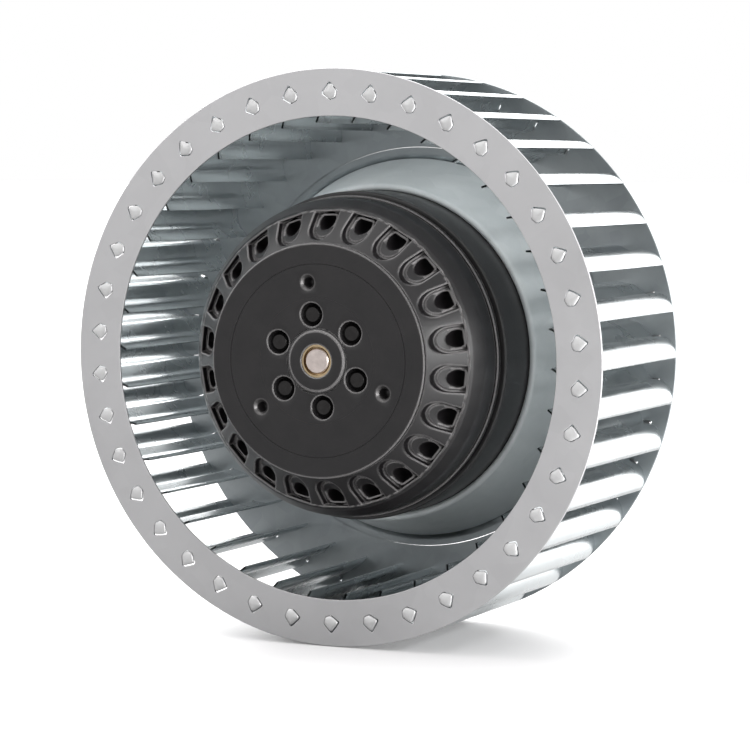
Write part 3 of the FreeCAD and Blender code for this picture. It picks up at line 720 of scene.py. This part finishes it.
# Motor side, hidden from the inlet: bare die-cast flange, plated cap, rubber outlet, moulded end plates,
# varnished copper, turned tube, bearings and the small rings on the shaft.
motor_side = {
    "stator_flange": metal_material("flange_cast", (0.50, 0.50, 0.51), 0.45, 60.0),
    "rear_cap": zinc_material("cap_zinc", (0.56, 0.57, 0.59), (0.66, 0.67, 0.69), 0.30, 0.45),
    "cable_grommet": paint_material("grommet_rubber", (0.02, 0.02, 0.02), (0.035, 0.034, 0.033),
                                    (0.04, 0.04, 0.04), 0.55, 0.75),
    "front_insulator": paint_material("end_plate_white", (0.62, 0.60, 0.54), (0.68, 0.66, 0.60),
                                      (0.7, 0.68, 0.62), 0.45, 0.6),
    "stator_winding": metal_material("copper_wire", (0.62, 0.27, 0.13), 0.35, 500.0),
    "stator_core": metal_material("lamination_steel", (0.36, 0.37, 0.39), 0.42, 120.0),
    "bearing_tube": metal_material("tube_steel", (0.56, 0.56, 0.57), 0.35, 250.0),
    "front_bearing_outer": metal_material("bearing_steel", (0.72, 0.72, 0.73), 0.18, 350.0),
    "preload_spring": metal_material("spring_steel", (0.28, 0.28, 0.30), 0.35, 350.0),
}
motor_side["rear_insulator"] = motor_side["front_insulator"]
motor_side["shaft_spacer"] = motor_side["bearing_tube"]
motor_side["shaft_circlip"] = motor_side["preload_spring"]
for node in ("rear_bearing_outer", "front_bearing_inner", "rear_bearing_inner"):
    motor_side[node] = motor_side["front_bearing_outer"]
for node, material in motor_side.items():
    dress(node, material)

# Floor: seamless white paper that runs far behind the wheel and ends at the table's edge in front of it. The
# camera sees it white with the wheel's soft shadow. The metal sees it grey, with a painted glow on the
# window's side that stands in for the window's light and only reflections show.
floor_height = -0.0901
floor_reach = 20
table_edge = -0.5
paper_in_metal = (0.30, 0.30, 0.30, 1)
paper_seen = (0.86, 0.85, 0.855, 1)
seen_glow = 0.13
# Painted reflection: how far and how strongly the paper glows towards the window's side for glossy rays only.
window_reach = 0.30
painted_window_glow = 2.2
floor_mesh = bpy.data.meshes.new("floor")
floor_corners = [(-floor_reach, table_edge, floor_height), (floor_reach, table_edge, floor_height),
                 (floor_reach, floor_reach, floor_height), (-floor_reach, floor_reach, floor_height)]
floor_mesh.from_pydata(floor_corners, [], [(0, 1, 2, 3)])
floor = bpy.data.objects.new("floor", floor_mesh)
bpy.context.scene.collection.objects.link(floor)
paper = bpy.data.materials.new("paper")
paper.use_nodes = True
n, link = paper.node_tree.nodes, paper.node_tree.links.new
shader = n["Principled BSDF"]
shader.inputs["Roughness"].default_value = 0.6
tone = value_node(n, "ShaderNodeMix", data_type="RGBA")
tone.inputs["A"].default_value = paper_in_metal
tone.inputs["B"].default_value = paper_seen
fibres = value_node(n, "ShaderNodeTexNoise", Scale=300.0, Detail=4.0)
fibre_bump = value_node(n, "ShaderNodeBump", Strength=0.05, Distance=0.0002)
glow = n.new("ShaderNodeEmission")
seen = n.new("ShaderNodeLightPath")
glow_level = value_node(n, "ShaderNodeMath", operation="MULTIPLY_ADD")
glow_level.inputs[1].default_value = seen_glow
across = n.new("ShaderNodeSeparateXYZ")
# Painted reflection: a glow that only glossy rays see, rising towards the window's side, stands in for the
# paper lit by the window.
painted_glow_side = n.new("ShaderNodeMapRange")
painted_glow_side.inputs["From Max"].default_value = window_reach
painted_glow_side.inputs["To Max"].default_value = painted_window_glow
painted_glow_in_metal = value_node(n, "ShaderNodeMath", operation="MULTIPLY")
both = n.new("ShaderNodeAddShader")
spot = n.new("ShaderNodeTexCoord")
link(spot.outputs["Object"], fibres.inputs["Vector"])
link(spot.outputs["Object"], across.inputs["Vector"])
link(across.outputs["X"], painted_glow_side.inputs["Value"])
link(painted_glow_side.outputs["Result"], painted_glow_in_metal.inputs[0])
link(seen.outputs["Is Glossy Ray"], painted_glow_in_metal.inputs[1])
link(painted_glow_in_metal.outputs["Value"], glow_level.inputs[2])
link(fibres.outputs["Fac"], fibre_bump.inputs["Height"])
link(fibre_bump.outputs["Normal"], shader.inputs["Normal"])
link(seen.outputs["Is Camera Ray"], tone.inputs["Factor"])
link(tone.outputs["Result"], shader.inputs["Base Color"])
link(seen.outputs["Is Camera Ray"], glow_level.inputs[0])
link(glow_level.outputs["Value"], glow.inputs["Strength"])
link(shader.outputs["BSDF"], both.inputs[0])
link(glow.outputs["Emission"], both.inputs[1])
link(both.outputs["Shader"], n["Material Output"].inputs["Surface"])
floor_mesh.materials.append(paper)

# Studio: white for the camera. The metal sees a grey room in front, a bright sweep behind on the right, and a
# dark low wall with a bright panel above it behind on the left. Soft lights stand in front, right and above.
world = bpy.data.worlds.new("studio")
world.use_nodes = True
bpy.context.scene.world = world
n, link = world.node_tree.nodes, world.node_tree.links.new
way = n.new("ShaderNodeTexCoord")
split = n.new("ShaderNodeSeparateXYZ")
height = n.new("ShaderNodeMapRange")
height.inputs["From Min"].default_value = -1


def height_ramp(stops):
    """Grey level of the surround by height, from stops of position and level: 0.5 is the horizon."""
    ramp = n.new("ShaderNodeValToRGB")
    for element, (position, level) in zip(ramp.color_ramp.elements, (stops[0], stops[-1])):
        element.position = position
        element.color = (level, level, level, 1)
    for position, level in stops[1:-1]:
        ramp.color_ramp.elements.new(position).color = (level, level, level, 1)
    link(height.outputs["Result"], ramp.inputs["Fac"])
    return ramp


front = height_ramp([(0.30, 0.40), (0.44, 0.62), (0.60, 0.66), (0.75, 0.8), (0.90, 1.0), (1.0, 1.0)])
left = height_ramp([(0.40, 0.06), (0.51, 0.10), (0.56, 2.0), (0.62, 4.6), (0.90, 4.6), (1.0, 1.5)])
behind = height_ramp([(0.30, 0.5), (0.36, 2.4), (0.60, 2.4), (0.76, 1.8), (0.86, 1.0), (1.0, 0.8)])
to_right = value_node(n, "ShaderNodeMapRange", interpolation_type="SMOOTHSTEP")
to_right.inputs["From Min"].default_value = -0.25
to_right.inputs["From Max"].default_value = 0.05
sweep = value_node(n, "ShaderNodeMix", data_type="RGBA")
to_rear = value_node(n, "ShaderNodeMapRange", interpolation_type="SMOOTHSTEP")
to_rear.inputs["From Min"].default_value = -0.3
to_rear.inputs["From Max"].default_value = 0.3
room = value_node(n, "ShaderNodeMix", data_type="RGBA")
seen = n.new("ShaderNodeLightPath")
pick = value_node(n, "ShaderNodeMix", data_type="RGBA")
pick.inputs["B"].default_value = (1, 1, 1, 1)
link(way.outputs["Generated"], split.inputs["Vector"])
link(split.outputs["Z"], height.inputs["Value"])
link(split.outputs["Y"], to_rear.inputs["Value"])
link(split.outputs["X"], to_right.inputs["Value"])
link(to_right.outputs["Result"], sweep.inputs["Factor"])
link(left.outputs["Color"], sweep.inputs["A"])
link(behind.outputs["Color"], sweep.inputs["B"])
link(to_rear.outputs["Result"], room.inputs["Factor"])
link(front.outputs["Color"], room.inputs["A"])
link(sweep.outputs["Result"], room.inputs["B"])
link(room.outputs["Result"], pick.inputs["A"])
link(seen.outputs["Is Camera Ray"], pick.inputs["Factor"])
link(pick.outputs["Result"], n["Background"].inputs["Color"])
lights = [("key", (-1.15, -2.0, 0.75), (0.9, 0.9), 4.0),
          ("window", (2.05, -0.95, 0.30), (1.4, 0.7), 22.0),
          ("top", (0.0, 0.0, 2.2), (1.6, 1.6), 9.0)]
for name, where, size, power in lights:
    lamp = bpy.data.lights.new(name, "AREA")
    lamp.shape = "RECTANGLE"
    lamp.size, lamp.size_y = size
    lamp.energy = power
    lamp_object = bpy.data.objects.new(name, lamp)
    aim = (Vector(where) - axis_middle).to_track_quat("Z", "Y").to_matrix().to_4x4()
    lamp_object.matrix_world = Matrix.Translation(where) @ aim
    bpy.context.scene.collection.objects.link(lamp_object)
